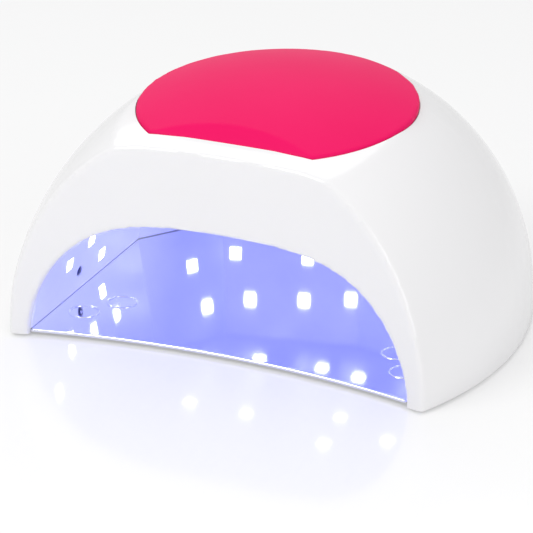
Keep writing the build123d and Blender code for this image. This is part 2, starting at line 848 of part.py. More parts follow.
def make_control_ribbon():
    """From the control board's plug up its back and forward to the main board's rear plug."""
    depth = control_board_depth + main_board_thickness + ribbon_plug[2] / 2
    places = [panel_point(-ribbon_x, rise, depth).position for rise in (control_plug_rise + 3, 27)]
    level = main_board_top() + ribbon_plug[2] / 2
    end = plug_y(ribbon_plug) + ribbon_plug[1] / 2
    points = [(ribbon_x, place.Y, place.Z) for place in places]
    points += [(ribbon_x, end + 17, level), (ribbon_x, end, level)]
    return make_lead(points, Rectangle(ribbon_width, ribbon_thickness), (1, 0, 0))


# ---- one file for each piece ------------------------------------------------------------------
def save(name, pieces):
    """Writes one piece, or a group of equal separate pieces, to its own file."""
    shape = Compound(children=pieces) if isinstance(pieces, list) else pieces
    export_step(shape, f"parts/{name}.step")


save("outer_shell", make_outer_shell())
save("top_pad", make_top_pad())
save("base_plate", make_base_plate())
save("plate_feet", make_plate_feet())
save("base_frame", make_base_frame())
save("magnets", make_magnets())
save("shell_screws", make_shell_screws())
save("reflector", make_reflector())
save("liner_screws", make_liner_screws())

for board_name, board_piece in make_led_boards().items():
    save("led_board_" + board_name, board_piece)
for board_name, board_frames in led_frames().items():
    save("leds_" + board_name, [make_led(led_frame) for led_frame in board_frames])
for sensor_name, sensor_frame in sensor_frames().items():
    save("ir_" + sensor_name, make_sensor(sensor_frame))

save("main_board", make_main_board())
save("main_board_screws", make_main_board_screws())
save("inductors", make_inductors())
save("capacitors", make_capacitors())
save("driver_chips", make_driver_chips())
save("board_connectors", make_board_connectors())

save("control_board", make_control_board())
save("control_board_screws", make_control_board_screws())
save("tact_switches", make_tact_switches())
save("display_module", make_display_module())
save("display_window", make_display_window())
for seconds, place in zip((10, 30, 60, 99), button_places()):
    save(f"button_{seconds}s", make_button(*place))

save("inlet_body", make_inlet_body())
save("inlet_pin", make_inlet_pin())
save("inlet_nut", make_inlet_nut())
save("power_lead_positive", make_power_lead(2.5))
save("power_lead_negative", make_power_lead(-2.5))
save("led_lead_left", make_led_lead(-1))
save("led_lead_right", make_led_lead(1))
save("control_ribbon", make_control_ribbon())
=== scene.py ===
import math

import bpy
from mathutils import Matrix, Vector


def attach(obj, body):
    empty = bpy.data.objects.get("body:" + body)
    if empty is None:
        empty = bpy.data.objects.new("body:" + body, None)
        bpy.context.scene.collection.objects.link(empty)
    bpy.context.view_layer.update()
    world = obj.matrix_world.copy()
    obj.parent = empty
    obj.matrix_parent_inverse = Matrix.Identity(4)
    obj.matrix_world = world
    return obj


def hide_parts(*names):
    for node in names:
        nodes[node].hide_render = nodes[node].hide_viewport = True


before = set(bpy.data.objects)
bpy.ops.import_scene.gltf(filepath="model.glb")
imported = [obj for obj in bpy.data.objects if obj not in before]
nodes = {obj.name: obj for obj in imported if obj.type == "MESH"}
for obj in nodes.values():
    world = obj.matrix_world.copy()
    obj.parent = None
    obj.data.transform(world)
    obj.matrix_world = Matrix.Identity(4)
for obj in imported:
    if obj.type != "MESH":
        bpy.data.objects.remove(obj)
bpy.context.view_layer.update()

bl_info = {
    "name": "Nail Curing Lamp",
    "version": (1, 0, 0),
    "blender": (4, 5, 0),
    "location": "View3D > Sidebar > Nail Lamp",
    "description": "Models and finishes a domed nail curing lamp around its packed solids",
    "category": "Add Mesh",
}


# ---- sizes and colours that a user would change ------------------------------------------------
def length(name, value, description):
    return bpy.props.FloatProperty(
        name=name, description=description, default=value,
        unit="LENGTH", subtype="DISTANCE", precision=5,
    )


def colour(name, value, description):
    return bpy.props.FloatVectorProperty(
        name=name, description=description, default=value,
        size=3, min=0.0, max=1.0, subtype="COLOR",
    )


def share(name, value, description):
    return bpy.props.FloatProperty(
        name=name, description=description, default=value, min=0.0, max=1.0, subtype="FACTOR"
    )


def turn(name, degrees, description):
    return bpy.props.FloatProperty(
        name=name, description=description, default=math.radians(degrees), subtype="ANGLE"
    )


class HousingSettings(bpy.types.PropertyGroup):
    wall: length("Wall", 0.0024, "Thickness of the dome's wall")
    front_wall: length("Front wall", 0.003, "Thickness of the front wall around the opening")
    grain: length("Grain", 0.0011, "Fineness of the moulding's mesh")
    edge_softening: bpy.props.IntProperty(
        name="Edge softening", description="How often the moulded edges are relaxed",
        default=9, min=0, max=60,
    )
    shell_colour: colour("Shell", (0.865, 0.860, 0.872), "Colour of the gloss moulding")
    shell_roughness: share("Shell roughness", 0.14, "Roughness of the gloss moulding")
    pad_colour: colour("Pad", (0.86, 0.008, 0.135), "Colour of the silicone pad")
    pad_shade: colour("Pad shade", (0.80, 0.006, 0.115), "Darker tone in the silicone")


class CavitySettings(bpy.types.PropertyGroup):
    # Painted light: the two glow colours below are emitted by the liner, which is no lamp, to
    # paint the lamps' light on it; the side walls get a paler painted glow.
    painted_glow_colour: colour("Glow", (0.40, 0.42, 1.0), "Colour of the light in the hand opening")
    painted_wall_glow: colour("Wall glow", (0.85, 0.87, 1.0), "Colour of the light on the side walls")
    lamp_colour: colour("Lamps", (0.50, 0.52, 1.0), "Colour of the lit lamps")
    lamp_strength: bpy.props.FloatProperty(
        name="Lamp strength", description="Brightness of the lit lamps",
        default=12.0, min=0.0, max=60.0,
    )
    # The liner's blue tint is partly painted light: the silver metallised lining is coloured by
    # the lit lamps' blue light.
    liner_tint_with_painted_lamplight: colour("Liner", (0.66, 0.69, 0.96), "Tint of the metallised liner")
    steel_colour: colour("Base plate", (0.82, 0.83, 0.90), "Tint of the polished base plate")


class PanelSettings(bpy.types.PropertyGroup):
    numeral_height: length("Numeral height", 0.0038, "Height of the numbers on the buttons")
    numeral_colour: colour("Numerals", (0.16, 0.17, 0.20), "Colour of the printed numbers")
    segment_colour: colour("Segments", (0.55, 0.80, 1.0), "Colour of the lit display segments")


class StageSettings(bpy.types.PropertyGroup):
    floor_colour: colour("Floor", (0.96, 0.96, 0.965), "Colour of the table top")
    key_power: bpy.props.FloatProperty(
        name="Key light", description="Power of the large soft light",
        default=4.3, min=0.0, unit="POWER",
    )
    surround: share("Surround", 0.77, "How strongly the white surround lights the lamp")
    view_turn: turn("View turn", 24.71, "The camera's turn to the right")
    view_rise: turn("View rise", 22.543, "The camera's height angle")


# ---- small modelling helpers -------------------------------------------------------------------
def only(obj):
    """Selects one object and makes it active, in object mode."""
    if bpy.context.object and bpy.context.object.mode != "OBJECT":
        bpy.ops.object.mode_set(mode="OBJECT")
    bpy.ops.object.select_all(action="DESELECT")
    obj.select_set(True)
    bpy.context.view_layer.objects.active = obj


def settle(obj):
    """Puts an object's place, turn and scale into its mesh."""
    only(obj)
    bpy.ops.object.transform_apply(location=True, rotation=True, scale=True)


def started(name):
    """Names the object that was just added."""
    obj = bpy.context.active_object
    obj.name = name
    obj.data.name = name
    return obj


def clear_selection():
    """Leaves nothing selected, so that the next step acts on the new piece only."""
    bpy.ops.object.select_all(action="DESELECT")


def ball(name, centre, radii, turn=0.0, fineness=2):
    """A stretched ball, turned about its upright axis; each step of fineness halves its facets."""
    clear_selection()
    bpy.ops.mesh.primitive_uv_sphere_add(segments=64, ring_count=32, radius=1.0)
    obj = started(name)
    apply_step(obj, "SUBSURF", subdivision_type="SIMPLE", levels=fineness, render_levels=fineness)
    apply_step(obj, "CAST", cast_type="SPHERE", factor=1.0, size=1.0)
    obj.scale = radii
    obj.rotation_euler = (0.0, 0.0, turn)
    obj.location = centre
    settle(obj)
    return obj


def bar(name, start, end, radius, vertices=96):
    """A round bar between two points."""
    start, end = Vector(start), Vector(end)
    clear_selection()
    bpy.ops.mesh.primitive_cylinder_add(
        vertices=vertices, radius=radius, depth=(end - start).length
    )
    obj = started(name)
    obj.rotation_mode = "QUATERNION"
    obj.rotation_quaternion = (end - start).to_track_quat("Z", "Y")
    obj.location = (start + end) / 2
    settle(obj)
    return obj


def block(name, size, place):
    """A block of a size, set by a placing matrix."""
    clear_selection()
    bpy.ops.mesh.primitive_cube_add(size=1.0)
    obj = started(name)
    obj.matrix_world = place @ Matrix.Diagonal((*size, 1.0))
    settle(obj)
    return obj


def combine(obj, tool, operation="DIFFERENCE"):
    """Cuts, joins or crosses an object with a tool, and takes the tool away."""
    only(obj)
    step = obj.modifiers.new("Combine", "BOOLEAN")
    step.operation = operation
    step.solver = "MANIFOLD"
    step.object = tool
    bpy.ops.object.modifier_apply(modifier=step.name)
    bpy.data.objects.remove(tool, do_unlink=True)
    if not obj.data.polygons:
        raise RuntimeError(f"{obj.name}: nothing is left after a {operation.lower()}")
    return obj


def apply_step(obj, kind, **settings):
    """Adds a modifier with its settings and applies it."""
    only(obj)
    step = obj.modifiers.new(kind.title(), kind)
    for key, value in settings.items():
        setattr(step, key, value)
    bpy.ops.object.modifier_apply(modifier=step.name)


def soften(obj, grain, times):
    """Relaxes a moulded body: an even mesh first, then its edges rounded over."""
    apply_step(obj, "REMESH", mode="VOXEL", voxel_size=grain)
    apply_step(obj, "SMOOTH", factor=0.5, iterations=times)


def trim_below(obj, height):
    """Cuts a closed body off flat at a height and closes the cut."""
    only(obj)
    bpy.ops.object.mode_set(mode="EDIT")
    bpy.ops.mesh.select_all(action="SELECT")
    bpy.ops.mesh.bisect(
        plane_co=(0, 0, height), plane_no=(0, 0, 1),
        use_fill=True, clear_inner=True, clear_outer=False,
    )
    bpy.ops.object.mode_set(mode="OBJECT")


def shade(obj, degrees=32.0):
    """Smooth shading, with the edges sharper than an angle kept."""
    only(obj)
    bpy.ops.object.shade_smooth_by_angle(angle=math.radians(degrees))


# ---- the housing's surfaces --------------------------------------------------------------------
DOME_RADII = (0.111, 0.1363, 0.1115)
DOME_CENTRE = (0.0, -0.0355, 0.006)
DOME_WAIST = 0.005  # the widest section's height over the rim
DOME_CUT = -0.004  # the dome is closed off a little under the table top
CROWN_RADIUS = 0.365
CROWN_CENTRE = (0.0, -0.0068, 0.105 - 0.365)
CROWN_CUT = -0.05
FACE_RADIUS = 0.390
FACE_AXIS_Y = -0.089 - 0.390
FACE_FACETS = 1440
RIM = 0.001
CHEEK_CENTRE = (0.00477, -0.02574, 0.00379)
CHEEK_RADII = (0.10489, 0.13639, 0.11164)
CHEEK_TURN = math.radians(8.0)

ARCH_HALF_WIDTH = 0.0889
ARCH_RISE = 0.0561
ARCH_SILL = 0.0015
ARCH_POWERS = (3.59, 1.67)
ARCH_SIDES = 192
ARCH_START_Y = -0.140
ARCH_DEPTH = 0.060

PAD_RADIUS = 0.061
PAD_SIDES = 384
PAD_Y = -0.032
PAD_FRONT_Y = -0.080
PAD_GAP = 0.0003
PAD_SEAT_DEPTH = 0.0026
PAD_BULGE = 0.004
PAD_RIM = 0.0008
PAD_LIP = 0.0006
PAD_BEVEL_ANGLE = math.radians(37.0)
PAD_GRAIN = 0.0008
BEVEL_HEIGHT = 0.0958
BEVEL_ANGLE = math.radians(13.8)

PANEL_TILT = math.radians(25.0)
PANEL_HEIGHT = 0.046
PANEL_DEPTH = 0.005
BUTTON_PITCH = 0.013
BUTTON_ROW = -0.009
BUTTON_HOLE = 0.0047
BUTTON_PROUD = 0.00118  # the printed numbers' height over the panel
WINDOW_ROW = 0.011
WINDOW_RECESS = (0.0304, 0.0144, 0.0024)
WINDOW_SIGHT = (0.026, 0.010, 0.0096)
SEGMENT_DEPTH = 0.00275
BUTTON_PLACES = {
    seconds: ((number - 1.5) * BUTTON_PITCH, BUTTON_ROW)
    for number, seconds in enumerate((10, 30, 60, 99))
}
POST_RADIUS = 0.0025
POST_END = -0.0084
POST_PLACES = [(0.025 * x, 0.017 * y) for x in (-1, 1) for y in (-1, 1)]
BOSS_RADIUS = 0.004
BOSS_ENDS = (0.0074, 0.0214)
BOSS_SIDE = ((0.097, -0.084), (0.1015, -0.005), (0.044, 0.0825))
BOSS_PLACES = [(side * x, y) for x, y in BOSS_SIDE for side in (-1, 1)]

INLET_RISE = 0.013
INLET_Z = 0.014
INLET_BEZEL = 0.0068
INLET_SINK = 0.0006
INLET_SEAT_RADIUS = 0.007
INLET_HOLE_RADIUS = 0.0057
INLET_BOSS_RADIUS = 0.008
INLET_BOSS_DEPTH = 0.004


def dome(name, inset):
    """The stretched ball of the dome, drawn in by an inset."""
    radii = [radius - inset for radius in DOME_RADII]
    body = ball(name, DOME_CENTRE, radii)
    trim_below(body, DOME_CUT - inset)
    return body


def crown(name, inset):
    """The part of the great ball that stands over the dome's waist."""
    reach = CROWN_RADIUS - inset
    body = ball(name, CROWN_CENTRE, (reach, reach, reach), fineness=3)
    trim_below(body, CROWN_CUT)
    return body


def face_post(inset):
    """The tall cylinder that hollows the front face."""
    centre = Vector((0, FACE_AXIS_Y, 0))
    foot, top = centre - Vector((0, 0, 0.2)), centre + Vector((0, 0, 0.3))
    return bar("face_post", foot, top, FACE_RADIUS + inset, FACE_FACETS)


def bevel_block(inset):
    """The block over the sloped strip in front of the pad."""
    slope = Matrix.Translation((0, PAD_FRONT_Y, BEVEL_HEIGHT - inset))
    slope = slope @ Matrix.Rotation(BEVEL_ANGLE, 4, "X")
    size = (0.4, 0.2, 0.1)
    return block("bevel_block", size, slope @ Matrix.Translation((0, -0.1, 0.05)))


def cheek_tool(side):
    """What lies outside the flatter cheek on one side of the front."""
    place = Matrix.Translation((side * 0.07, -0.06, 0.05))
    tool = block("cheek_tool", (0.14, 0.30, 0.24), place)
    centre = (side * CHEEK_CENTRE[0], CHEEK_CENTRE[1], CHEEK_CENTRE[2])
    return combine(tool, ball("cheek", centre, CHEEK_RADII, side * CHEEK_TURN))


def arch_tool():
    """The arched opening as a prism through the front wall."""
    clear_selection()
    bpy.ops.mesh.primitive_circle_add(vertices=ARCH_SIDES, radius=1.0, fill_type="NGON")
    tool = started("arch_tool")
    for vertex in tool.data.vertices:
        x, z = vertex.co.x, vertex.co.y
        wide = math.copysign(abs(x) ** (2 / ARCH_POWERS[0]), x) * ARCH_HALF_WIDTH
        if z > 0:
            high = abs(z) ** (2 / ARCH_POWERS[1]) * ARCH_RISE
        else:
            high = -0.02 * (1 - abs(x) ** 8)
        vertex.co = (wide, ARCH_START_Y, ARCH_SILL + high)
    only(tool)
    bpy.ops.object.mode_set(mode="EDIT")
    bpy.ops.mesh.select_all(action="SELECT")
    bpy.ops.mesh.extrude_region_move(TRANSFORM_OT_translate={"value": (0, ARCH_DEPTH, 0)})
    bpy.ops.mesh.select_all(action="SELECT")
    bpy.ops.mesh.normals_make_consistent(inside=False)
    bpy.ops.object.mode_set(mode="OBJECT")
    return tool


def panel_place(x=0.0, y=0.0, depth=0.0):
    """A place on the rear control panel: Z out of it, Y up it and X to the right from behind."""
    out = Vector((0, math.cos(PANEL_TILT), math.sin(PANEL_TILT)))
    up = Vector((0, -math.sin(PANEL_TILT), math.cos(PANEL_TILT)))
    right = Vector((-1, 0, 0))
    origin = Vector((0, rear_y(PANEL_HEIGHT), PANEL_HEIGHT + RIM))
    origin = origin - out * (PANEL_DEPTH + depth) + right * x + up * y
    axes = Matrix((right, up, out)).transposed().to_4x4()
    return Matrix.Translation(origin) @ axes


def rear_y(height):
    """Where the dome's rear is at a height over the rim."""
    lift = (height - DOME_WAIST) / DOME_RADII[2]
    return DOME_CENTRE[1] + DOME_RADII[1] * math.sqrt(1 - lift * lift)


def panel_bar(x, y, top, bottom, radius):
    """A round bar square to the panel, between two heights over it."""
    start = panel_place(x, y, -top).translation
    return bar("panel_bar", start, panel_place(x, y, -bottom).translation, radius)


def panel_block(depth):
    """Everything outside the panel's plane, or outside a plane at a depth in it."""
    return block("panel_block", (0.3, 0.3, 0.2), panel_place(depth=depth - 0.1))


def inlet_seat():
    """The depth of the flat that the inlet's bezel stands on."""
    return rear_y(INLET_RISE + INLET_BEZEL) - INLET_SINK


def inlet_bar(name, start, end, radius):
    """A round bar along the inlet's middle, between two depths."""
    return bar(name, (0, start, INLET_Z), (0, end, INLET_Z), radius)


def housing_hollow(sizes):
    """The inside of the housing, with its bosses and posts left standing."""
    hollow = dome("hollow", sizes.wall)
    combine(hollow, crown("crown", sizes.wall + PAD_SEAT_DEPTH), "INTERSECT")
    combine(hollow, bevel_block(sizes.wall))
    combine(hollow, face_post(sizes.front_wall))
    combine(hollow, panel_block(sizes.wall))
    foot, top = BOSS_ENDS
    for x, y in BOSS_PLACES:
        combine(hollow, bar("boss", (x, y, foot), (x, y, top), BOSS_RADIUS, 48))
    for x, y in POST_PLACES:
        combine(hollow, panel_bar(x, y, 0.0, POST_END, POST_RADIUS))
    seat = inlet_seat()
    boss = inlet_bar("inlet_boss", seat - INLET_BOSS_DEPTH, seat + 0.02, INLET_BOSS_RADIUS)
    return combine(hollow, boss)


def pad_column(grow):
    """The pad's round outline with its straight front, as a column."""
    radius = PAD_RADIUS + grow
    column = bar("pad_column", (0, PAD_Y, 0.06), (0, PAD_Y, 0.14), radius, PAD_SIDES)
    front = Matrix.Translation((0, PAD_FRONT_Y - grow - 0.1, 0.1))
    return combine(column, block("pad_front", (0.3, 0.2, 0.2), front))


WHITE = (1.0, 1.0, 1.0)
LIGHT_AIM = Vector((0, -0.03, 0.05))
VIEW_AIM = Vector((0.023701, -0.095029, 0.051))
VIEW_DISTANCE = 1.248868


# ---- finishes ----------------------------------------------------------------------------------
class Number:
    """A number that varies over a surface; arithmetic on it adds Math nodes."""

    def __init__(self, finish, socket):
        self.finish = finish
        self.socket = socket

    def join(self, operation, first, second=0.0):
        node = self.finish.add("ShaderNodeMath", {"operation": operation}, {0: first, 1: second})
        return Number(self.finish, node.outputs[0])

    def __add__(self, other):
        return self.join("ADD", self, other)

    def __sub__(self, other):
        return self.join("SUBTRACT", self, other)

    def __mul__(self, other):
        return self.join("MULTIPLY", self, other)

    def __rsub__(self, other):
        return self.join("SUBTRACT", other, self)

    __radd__ = __add__
    __rmul__ = __mul__


class Nodes:
    """A node tree in the making, and the one call that adds a node to it."""

    def __init__(self, tree):
        self.tree = tree
        self.tree.nodes.clear()

    def add(self, kind, settings=None, sockets=None):
        node = self.tree.nodes.new(kind)
        for key, value in (settings or {}).items():
            if key == "stops":
                for element, (position, tone) in zip(node.color_ramp.elements, value):
                    element.position = position
                    element.color = (*tone, 1.0)
            else:
                setattr(node, key, value)
        for key, value in (sockets or {}).items():
            value = value.socket if isinstance(value, Number) else value
            if isinstance(value, bpy.types.NodeSocket):
                self.tree.links.new(value, node.inputs[key])
            elif node.inputs[key].type == "RGBA" and len(value) == 3:
                node.inputs[key].default_value = (*value, 1.0)
            else:
                node.inputs[key].default_value = value
        return node


class Finish(Nodes):
    """A material in the making."""

    def __init__(self, name):
        self.material = bpy.data.materials.new(name)
        self.material.use_nodes = True
        super().__init__(self.material.node_tree)
        self.place = self.add("ShaderNodeTexCoord").outputs["Object"]

    def noise(self, scale, detail=3.0, stretch=(1.0, 1.0, 1.0)):
        """Soft noise, 0 to 1, of a scale per metre."""
        mapped = self.add("ShaderNodeMapping", None, {"Vector": self.place, "Scale": stretch})
        sockets = {"Vector": mapped.outputs[0], "Scale": scale, "Detail": detail}
        return Number(self, self.add("ShaderNodeTexNoise", None, sockets).outputs[0])

    def mix(self, factor, first, second):
        """A colour between two colours."""
        sockets = {"Factor": factor, 6: first, 7: second}
        return self.add("ShaderNodeMix", {"data_type": "RGBA"}, sockets).outputs[2]

    def bump(self, height, distance, strength=1.0):
        sockets = {"Height": height, "Distance": distance, "Strength": strength}
        return self.add("ShaderNodeBump", None, sockets).outputs[0]

    def surface(self, **sockets):
        """The finished surface; sockets are the Principled shader's, with _ for a space."""
        named = {key.replace("_", " "): value for key, value in sockets.items()}
        shader = self.add("ShaderNodeBsdfPrincipled", None, named)
        self.add("ShaderNodeOutputMaterial", None, {"Surface": shader.outputs[0]})
        return self.material


def tinted(tone, amount):
    """A colour made lighter or darker."""
    return tuple(max(0.0, min(1.0, part * amount)) for part in tone)


def moulded(name, tone, roughness, coat=0.0, grain=0.0):
    """Moulded plastic: a slow drift in tone, uneven gloss and a trace of texture."""
    finish = Finish(name)
    drift = finish.noise(14.0, 2.0)
    fine = finish.noise(900.0, 2.0)
    return finish.surface(
        Base_Color=finish.mix(drift, tinted(tone, 0.985), tinted(tone, 1.015)),
        Roughness=roughness * 0.85 + fine * (roughness * 0.3),
        Normal=finish.bump(fine, 0.00002 + grain, 0.35),
        Coat_Weight=coat,
        Coat_Roughness=0.05,
        Specular_IOR_Level=0.5,
    )


def metal(name, tone, roughness, stretch=(1.0, 1.0, 1.0), depth=0.000004):
    """Plated or polished metal with faint drawn lines and smudges."""
    finish = Finish(name)
    lines = finish.noise(2400.0, 2.0, stretch)
    smudge = finish.noise(35.0, 4.0)
    return finish.surface(
        Base_Color=finish.mix(smudge, tinted(tone, 0.95), tinted(tone, 1.03)),
        Metallic=1.0,
        Roughness=roughness + smudge * (roughness * 0.5) + lines * (roughness * 0.3),
        Normal=finish.bump(lines, depth, 0.3),
    )


def silicone(name, tone, shade_tone):
    """Soft moulded silicone: satin, with a fine dry grain."""
    finish = Finish(name)
    cloud = finish.noise(22.0, 3.0)
    grain = finish.noise(2600.0, 2.0)
    return finish.surface(
        Base_Color=finish.mix(cloud, tone, shade_tone),
        Roughness=0.36 + grain * 0.08 + cloud * 0.04,
        Normal=finish.bump(grain, 0.00003, 0.4),
        Specular_IOR_Level=0.06,
    )


def metallised(name, tone, glow, painted_wall_glow):
    """The bright lining, with the light of the lamps that it carries painted on as an emitted
    glow, painted palest on its side walls.
    """
    finish = Finish(name)
    ripple = finish.noise(60.0, 2.0)
    haze = finish.noise(700.0, 2.0)
    parts = finish.add("ShaderNodeSeparateXYZ", None, {"Vector": finish.place})
    across = Number(finish, parts.outputs[0])
    # A mask for the painted paler glow on the side walls. It rises from about 8 cm out to either
    # side.
    outward = across.join("ABSOLUTE", across) * 70.0 - 5.6
    painted_wall_share = outward.join("MAXIMUM", outward.join("MINIMUM", outward, 1.0), 0.0)
    painted_base_glow = finish.mix(ripple, tinted(glow, 0.85), glow)
    return finish.surface(
        # The base colour's blue tint is partly painted lamplight on the silver lining.
        Base_Color=finish.mix(ripple, tinted(tone, 0.94), tinted(tone, 1.04)),
        Metallic=0.45,
        Roughness=0.30 + haze * 0.12,
        Normal=finish.bump(ripple, 0.00008, 0.5),
        # The emission is painted light: the lining glows though it is no lamp.
        Emission_Color=finish.mix(painted_wall_share, painted_base_glow, painted_wall_glow),
        Emission_Strength=0.29,
    )


def lit_lamp(name, tone, strength):
    """A lit lamp: brightest in cells over its face."""
    finish = Finish(name)
    cells = finish.noise(1500.0, 1.0)
    return finish.surface(
        Base_Color=finish.mix(cells, tinted(tone, 0.9), tone),
        Roughness=0.25 + cells * 0.1,
        Emission_Color=finish.mix(cells, tinted(tone, 0.85), tinted(tone, 1.1)),
        Emission_Strength=strength,
    )


def circuit(name, tone, track):
    """A printed board: tracks under the solder mask and a fine weave."""
    finish = Finish(name)
    cell = finish.add(
        "ShaderNodeTexVoronoi", {"feature": "DISTANCE_TO_EDGE"},
        {"Vector": finish.place, "Scale": 170.0},
    )
    tracks = finish.add(
        "ShaderNodeValToRGB", {"stops": [(0.05, (1, 1, 1)), (0.09, (0, 0, 0))]},
        {"Fac": cell.outputs["Distance"]},
    )
    weave = finish.noise(1800.0, 1.0)
    return finish.surface(
        Base_Color=finish.mix(tracks.outputs[0], tone, track),
        Roughness=0.34 + weave * 0.12,
        Normal=finish.bump(tracks.outputs[0], 0.00003, 0.5),
        Specular_IOR_Level=0.5,
    )


def clear_pane(name, tone):
    """A smoked clear pane that what is lit behind it shows through."""
    finish = Finish(name)
    haze = finish.noise(300.0, 2.0)
    return finish.surface(
        Base_Color=finish.mix(haze, tinted(tone, 0.9), tinted(tone, 1.1)),
        Roughness=0.04 + haze * 0.04,
        Alpha=0.30 + haze * 0.06,
        Coat_Weight=0.6,
        Coat_Roughness=0.03,
    )


def dress(node_names, material):
    """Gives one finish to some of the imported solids."""
    for name in node_names:
        obj = nodes[name]
        if not obj.material_slots:
            obj.data.materials.append(material)
        for place in obj.material_slots:
            place.material = material


# ---- operators ---------------------------------------------------------------------------------
class NAILLAMP_OT_shell(bpy.types.Operator):
    """Moulds the white housing with its hollow front, soft cheeks, arch, seats and rear panel"""

    bl_idname = "naillamp.shell"
    bl_label = "Housing Shell"

    def execute(self, context):
        sizes = context.scene.nail_housing
        shell = dome("shell", 0.0)
        combine(shell, crown("crown", 0.0), "INTERSECT")
        combine(shell, bevel_block(0.0))
        combine(shell, face_post(0.0))
        for side in (-1, 1):
            combine(shell, cheek_tool(side))
        combine(shell, arch_tool())
        soften(shell, sizes.grain, sizes.edge_softening)
        trim_below(shell, RIM)
        combine(shell, panel_block(0.0))
        combine(shell, combine(pad_column(PAD_GAP), crown("crown", PAD_SEAT_DEPTH)))
        combine(shell, housing_hollow(sizes))
        combine(shell, block("recess", WINDOW_RECESS, panel_place(0, WINDOW_ROW)))
        combine(shell, block("sight", WINDOW_SIGHT, panel_place(0, WINDOW_ROW)))
        for x, y in BUTTON_PLACES.values():
            combine(shell, panel_bar(x, y, 0.003, -0.0048, BUTTON_HOLE))
        seat = inlet_seat()
        combine(shell, inlet_bar("inlet_seat", seat, seat + 0.02, INLET_SEAT_RADIUS))
        combine(shell, inlet_bar("inlet_hole", seat - 0.02, seat + 0.001, INLET_HOLE_RADIUS))
        shade(shell)
        gloss = moulded("gloss_white", sizes.shell_colour, sizes.shell_roughness, 0.55)
        shell.data.materials.clear()
        shell.data.materials.append(gloss)
        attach(shell, "housing")
        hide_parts("outer_shell")
        return {"FINISHED"}


class NAILLAMP_OT_pad(bpy.types.Operator):
    """Moulds the silicone pad with its bevelled front and rounded rim"""

    bl_idname = "naillamp.pad"
    bl_label = "Silicone Pad"

    def execute(self, context):
        sizes = context.scene.nail_housing
        tilt = math.asin((PAD_Y - CROWN_CENTRE[1]) / CROWN_RADIUS)
        rim_depth = math.sqrt(CROWN_RADIUS**2 - PAD_RADIUS**2)
        rise = CROWN_RADIUS - rim_depth + PAD_BULGE
        radius = (PAD_RADIUS**2 + rise**2) / (2 * rise)
        reach = rim_depth + rise - radius
        middle_y = CROWN_CENTRE[1] + reach * math.sin(tilt)
        middle_z = CROWN_CENTRE[2] + PAD_RIM + reach * math.cos(tilt)
        pad = pad_column(0.0)
        pad.name = "silicone_pad"
        cap = ball("cap", (0, middle_y, middle_z), (radius, radius, radius), fineness=3)
        combine(pad, cap, "INTERSECT")
        slope = Matrix.Translation((0, PAD_FRONT_Y, BEVEL_HEIGHT + PAD_LIP))
        slope = slope @ Matrix.Rotation(PAD_BEVEL_ANGLE, 4, "X")
        slope = slope @ Matrix.Translation((0, 0, 0.1))
        combine(pad, block("pad_bevel", (0.3, 0.3, 0.2), slope))
        combine(pad, crown("crown", PAD_SEAT_DEPTH))
        soften(pad, PAD_GRAIN, 5)
        shade(pad, 60.0)
        pad.data.materials.clear()
        pad.data.materials.append(silicone("rose_silicone", sizes.pad_colour, sizes.pad_shade))
        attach(pad, "housing")
        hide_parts("top_pad")
        return {"FINISHED"}


class NAILLAMP_OT_base(bpy.types.Operator):
    """Finishes the polished base plate, its feet and the magnets that hold it"""

    bl_idname = "naillamp.base"
    bl_label = "Base Plate"

    def execute(self, context):
        cavity = context.scene.nail_cavity
        plate = metal("polished_plate", cavity.steel_colour, 0.05, (1.0, 12.0, 12.0), 0.000002)
        dress(["base_plate"], plate)
        dress(["plate_feet"], moulded("foot_rubber", (0.03, 0.03, 0.032), 0.75, 0.0, 0.00004))
        dress(["magnets"], metal("magnet_nickel", (0.66, 0.65, 0.62), 0.22))
        dress(["base_frame"], moulded("chassis_white", (0.80, 0.80, 0.82), 0.5))
        return {"FINISHED"}


class NAILLAMP_OT_cavity(bpy.types.Operator):
    """Finishes the metallised liner, its lamps, their boards and the hand sensors"""

    bl_idname = "naillamp.cavity"
    bl_label = "Lit Cavity"

    def execute(self, context):
        cavity = context.scene.nail_cavity
        liner = metallised(
            "metallised_liner", cavity.liner_tint_with_painted_lamplight, cavity.painted_glow_colour, cavity.painted_wall_glow
        )
        dress(["reflector"], liner)
        lamps = [name for name in nodes if name.startswith("leds_")]
        dress(lamps, lit_lamp("lit_lamps", cavity.lamp_colour, cavity.lamp_strength))
        boards = [name for name in nodes if name.startswith("led_board_")]
        dress(boards, circuit("white_board", (0.82, 0.83, 0.82), (0.66, 0.68, 0.66)))
        sensors = moulded("infrared_plastic", (0.02, 0.03, 0.14), 0.12, 0.5)
        dress(["ir_emitter", "ir_receiver"], sensors)
        return {"FINISHED"}


